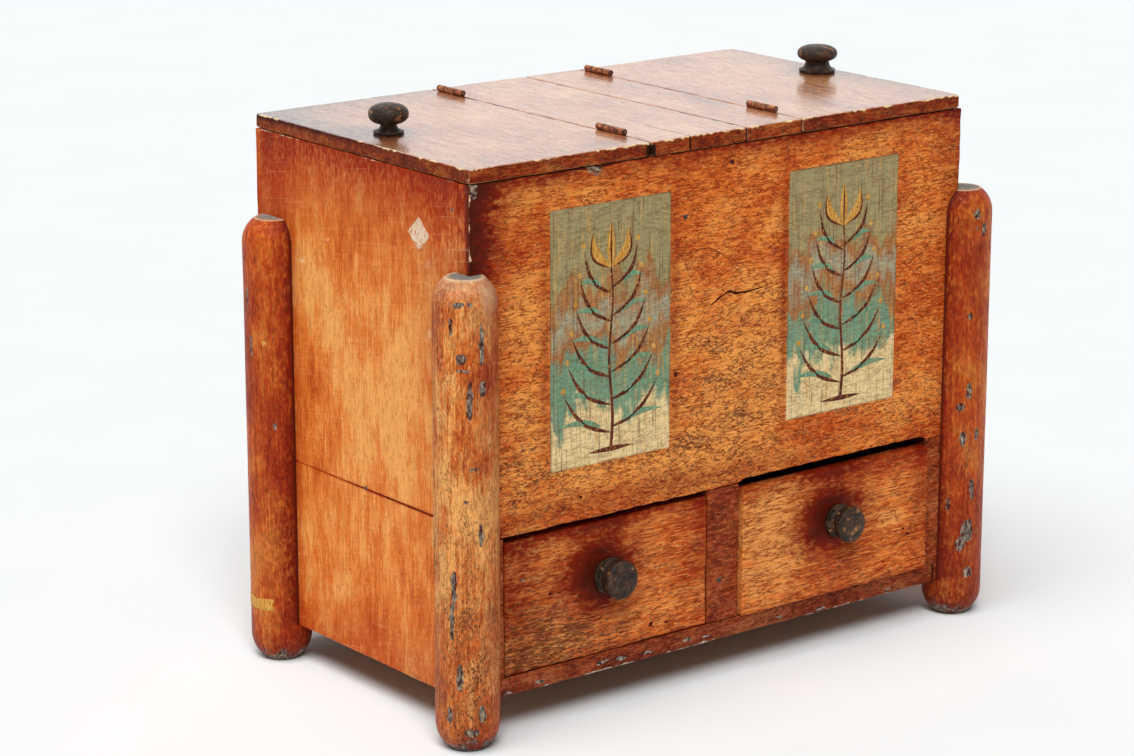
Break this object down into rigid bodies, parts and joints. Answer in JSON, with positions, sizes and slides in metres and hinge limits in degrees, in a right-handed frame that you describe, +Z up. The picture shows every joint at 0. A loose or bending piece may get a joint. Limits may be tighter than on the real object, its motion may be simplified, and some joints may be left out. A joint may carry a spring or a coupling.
{
  "type": "dry storage bin",
  "caption": "Rustic painted plank storage bin on notched round corner posts, with knobbed lids hinged at a fixed middle of the top and knobbed drawers below the bins",
  "frame": {"origin": "middle of the overall box, on the floor under the feet", "axes": "+X runs along the width, left to right as seen from the front; the front with the drawers faces -Y; +Z is up"},
  "size_m": [0.8396, 0.4634, 0.7019],
  "materials": {
    "front_paint": "crackled amber paint, worn satin",
    "side_paint": "brushed orange-red paint, satin",
    "post_paint": "chipped ochre paint over dark wood",
    "top_varnish": "brown varnish, worn gloss",
    "trim_paint": "dark red paint, chipped",
    "bare_wood": "bare aged pine, matt",
    "knob_paint": "worn black paint",
    "hinge_iron": "rusted brown",
    "screw_steel": "dull steel"
  },
  "bodies": {
    "case": {"front_board": "front_paint", "back_lower_board": "bare_wood", "back_upper_board": "bare_wood", "left_side_lower_board": "side_paint", "left_side_upper_board": "side_paint", "right_side_lower_board": "side_paint", "right_side_upper_board": "side_paint", "bottom_rail": "trim_paint", "left_stile": "trim_paint", "centre_stile": "trim_paint", "right_stile": "trim_paint", "case_bottom": "bare_wood", "left_guide": "bare_wood", "centre_guide": "bare_wood", "right_guide": "bare_wood", "left_floor_cleat": "bare_wood", "right_floor_cleat": "bare_wood", "bin_floor": "bare_wood", "bin_divider": "bare_wood", "front_left_post": "post_paint", "front_right_post": "post_paint", "back_left_post": "post_paint", "back_right_post": "post_paint", "centre_top_wide_board": "top_varnish", "centre_top_narrow_board": "top_varnish", "left_front_hinge_fixed_leaf": "hinge_iron", "left_front_hinge_pin": "hinge_iron", "left_back_hinge_fixed_leaf": "hinge_iron", "left_back_hinge_pin": "hinge_iron", "right_front_hinge_fixed_leaf": "hinge_iron", "right_front_hinge_pin": "hinge_iron", "right_back_hinge_fixed_leaf": "hinge_iron", "right_back_hinge_pin": "hinge_iron"},
    "left_lid": {"left_lid_board": "top_varnish", "left_lid_knob": "knob_paint", "left_lid_knob_screw": "screw_steel", "left_front_hinge_moving_leaf": "hinge_iron", "left_back_hinge_moving_leaf": "hinge_iron"},
    "right_lid": {"right_lid_board": "top_varnish", "right_lid_knob": "knob_paint", "right_lid_knob_screw": "screw_steel", "right_front_hinge_moving_leaf": "hinge_iron", "right_back_hinge_moving_leaf": "hinge_iron"},
    "left_drawer": {"left_drawer_front": "front_paint", "left_drawer_left_side": "bare_wood", "left_drawer_right_side": "bare_wood", "left_drawer_back": "bare_wood", "left_drawer_bottom": "bare_wood", "left_drawer_knob": "knob_paint", "left_drawer_knob_screw": "screw_steel"},
    "right_drawer": {"right_drawer_front": "front_paint", "right_drawer_left_side": "bare_wood", "right_drawer_right_side": "bare_wood", "right_drawer_back": "bare_wood", "right_drawer_bottom": "bare_wood", "right_drawer_knob": "knob_paint", "right_drawer_knob_screw": "screw_steel"}
  },
  "joints": [
    {"name": "left_lid_hinge", "type": "hinge", "parent": "case", "child": "left_lid", "pos_m": [-0.1222, 0.0176, 0.67065], "axis": [0, 1, 0], "range_deg": [0, 105]},
    {"name": "right_lid_hinge", "type": "hinge", "parent": "case", "child": "right_lid", "pos_m": [0.1074, 0.0176, 0.67065], "axis": [0, -1, 0], "range_deg": [0, 105]},
    {"name": "left_drawer_slide", "type": "slide", "parent": "case", "child": "left_drawer", "axis": [0, -1, 0], "range_m": [0, 0.28]},
    {"name": "right_drawer_slide", "type": "slide", "parent": "case", "child": "right_drawer", "axis": [0, -1, 0], "range_m": [-0.007, 0.28]}
  ]
}
